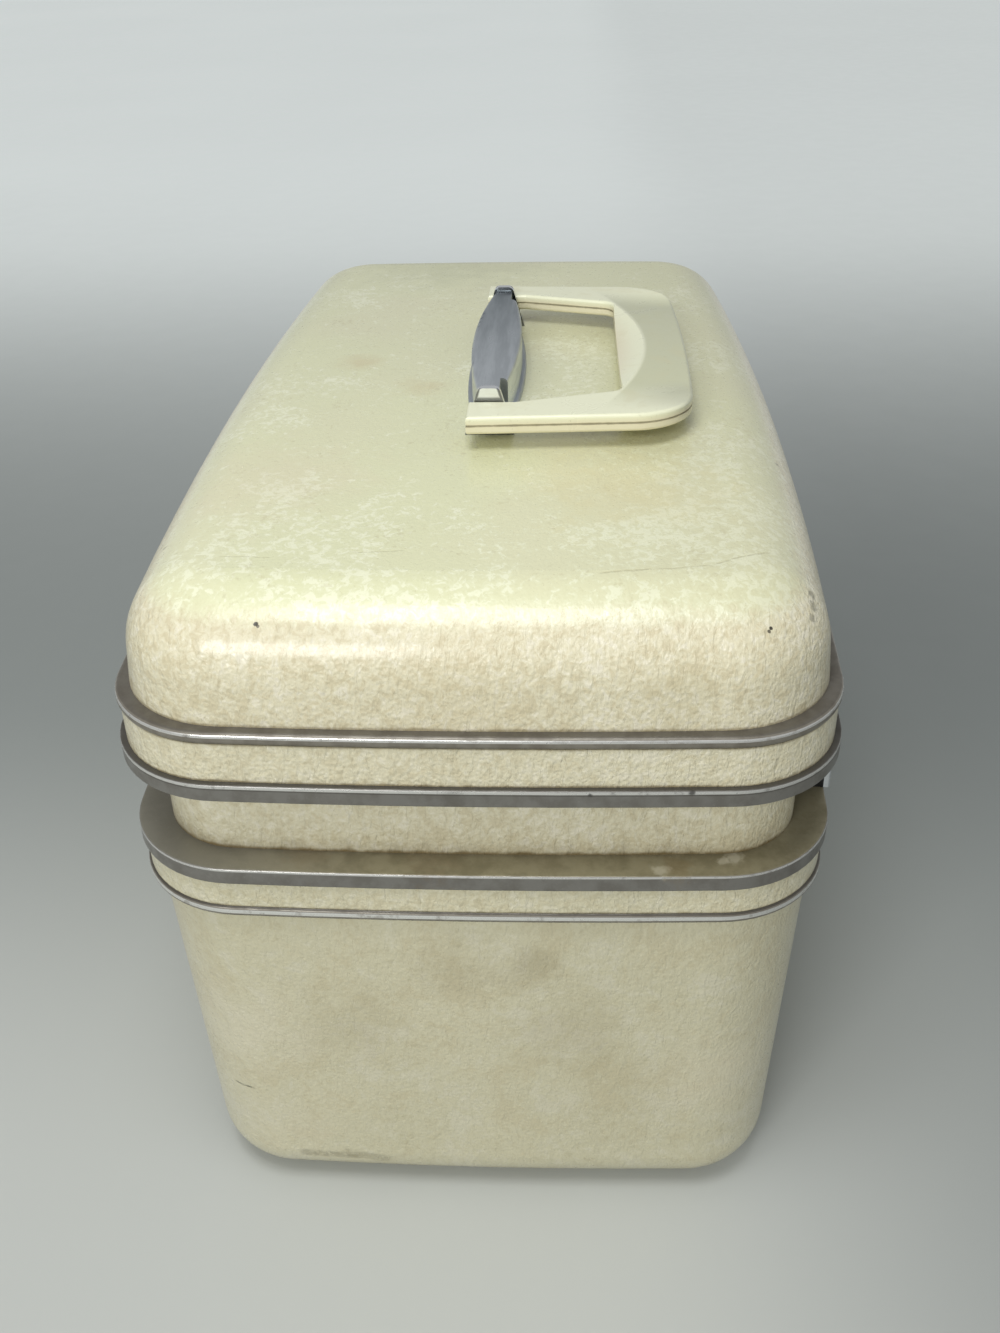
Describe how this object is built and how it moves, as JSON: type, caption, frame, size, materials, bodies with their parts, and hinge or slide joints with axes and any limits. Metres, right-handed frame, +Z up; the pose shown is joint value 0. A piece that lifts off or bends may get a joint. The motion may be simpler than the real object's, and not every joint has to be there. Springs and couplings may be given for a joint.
{
  "type": "cosmetic train case",
  "caption": "Hard-shell cosmetic train case in marbled cream vinyl with metal rims, recessed lid joint, folding top handle, front latches, lined interior, mirror and lift-out tray",
  "frame": {"origin": "centre of the flat bottom the case stands on", "axes": "+X along the length of the case, front with the latches at -Y, hinges at +Y, +Z up"},
  "size_m": [0.4, 0.228, 0.2547],
  "materials": {
    "vinyl": "marbled cream vinyl grain over a moulded shell, semi-gloss",
    "vinyl_band": "marbled cream vinyl strip, semi-gloss",
    "collar_vinyl": "cream vinyl, semi-gloss, slightly soiled",
    "rim_metal": "dark grey satin anodised with worn bright edges",
    "bead_metal": "dark grey satin anodised",
    "cap_metal": "satin",
    "lining_cloth": "fine woven cloth, matt",
    "pocket_cloth": "gathered woven cloth, matt",
    "pad_cloth": "fine woven cloth over board, matt",
    "tray_plastic": "moulded cream plastic",
    "rest_plastic": "moulded",
    "mirror_glass": "silvered",
    "mirror_frame": "moulded",
    "handle_plastic": "moulded cream plastic, semi-gloss",
    "bar_metal": "satin plate, polished at the cheeks",
    "hidden_steel": "plain",
    "hinge_steel": "plated",
    "lock_black": "black enamel",
    "latch_chrome": "polished",
    "key_metal": "turned"
  },
  "bodies": {
    "case_body": {"body_shell": "vinyl", "body_lining": "lining_cloth", "lower_bead": "bead_metal", "lower_band": "vinyl_band", "lower_rim": "rim_metal", "recess_collar": "collar_vinyl", "collar_cap": "cap_metal", "base_pad": "pad_cloth", "back_pocket": "pocket_cloth", "tray_rests": "rest_plastic", "hinge_rivets": "hidden_steel", "hinge_body_leaf_left": "hinge_steel", "hinge_body_leaf_right": "hinge_steel", "hinge_pin_left": "hidden_steel", "hinge_pin_right": "hidden_steel", "lock_case_left": "lock_black", "lock_case_right": "lock_black", "lock_plate_left": "latch_chrome", "lock_plate_right": "latch_chrome"},
    "lid": {"lid_shell": "vinyl", "lid_lining": "lining_cloth", "upper_bead": "bead_metal", "upper_band": "vinyl_band", "upper_rim": "rim_metal", "mirror_glass": "mirror_glass", "mirror_frame": "mirror_frame", "handle_bar": "bar_metal", "handle_screws": "hidden_steel", "handle_backing_plate": "hidden_steel", "hinge_lid_leaf_left": "hinge_steel", "hinge_lid_leaf_right": "hinge_steel", "hasp_bracket_left": "hinge_steel", "hasp_bracket_right": "hinge_steel", "hasp_pin_left": "hidden_steel", "hasp_pin_right": "hidden_steel"},
    "handle": {"handle_upper_half": "handle_plastic", "handle_lower_half": "handle_plastic", "handle_pivot_pins": "hidden_steel"},
    "tray": {"tray_pan": "tray_plastic", "tray_divider_long": "tray_plastic", "tray_divider_left": "tray_plastic", "tray_divider_right": "tray_plastic"},
    "hasp_left": {"hasp_left": "latch_chrome"},
    "button_left": {"slide_button_left": "latch_chrome"},
    "key_left": {"key_cylinder_left": "key_metal"},
    "hasp_right": {"hasp_right": "latch_chrome"},
    "button_right": {"slide_button_right": "latch_chrome"},
    "key_right": {"key_cylinder_right": "key_metal"}
  },
  "joints": [
    {"name": "lid_hinge", "type": "hinge", "parent": "case_body", "child": "lid", "pos_m": [0, 0.107, 0.16645], "axis": [-1, 0, 0], "range_deg": [0, 100]},
    {"name": "handle_pivot", "type": "hinge", "parent": "lid", "child": "handle", "pos_m": [0, 0, 0.2472], "axis": [-1, 0, 0], "range_deg": [0, 95]},
    {"name": "tray_lift", "type": "slide", "parent": "case_body", "child": "tray", "axis": [0, 0, 1], "range_m": [0, 0.034]},
    {"name": "hasp_left_swing", "type": "hinge", "parent": "lid", "child": "hasp_left", "pos_m": [-0.12397, -0.11034, 0.1764], "axis": [-0.9989, 0.0476, 0], "range_deg": [0, 105]},
    {"name": "button_left_slide", "type": "slide", "parent": "case_body", "child": "button_left", "axis": [-0.9989, 0.0476, 0], "range_m": [0, 0.0046], "stiffness_N_per_m": 300, "springref_m": -0.001},
    {"name": "key_left_turn", "type": "hinge", "parent": "button_left", "child": "key_left", "pos_m": [-0.14433, -0.11328, 0.168], "axis": [-0.0476, -0.9989, 0], "range_deg": [0, 90]},
    {"name": "hasp_right_swing", "type": "hinge", "parent": "lid", "child": "hasp_right", "pos_m": [0.12397, -0.11034, 0.1764], "axis": [-0.9989, -0.0476, 0], "range_deg": [0, 105]},
    {"name": "button_right_slide", "type": "slide", "parent": "case_body", "child": "button_right", "axis": [0.9989, 0.0476, 0], "range_m": [0, 0.0046], "stiffness_N_per_m": 300, "springref_m": -0.001},
    {"name": "key_right_turn", "type": "hinge", "parent": "button_right", "child": "key_right", "pos_m": [0.14433, -0.11328, 0.168], "axis": [0.0476, -0.9989, 0], "range_deg": [0, 90]}
  ]
}
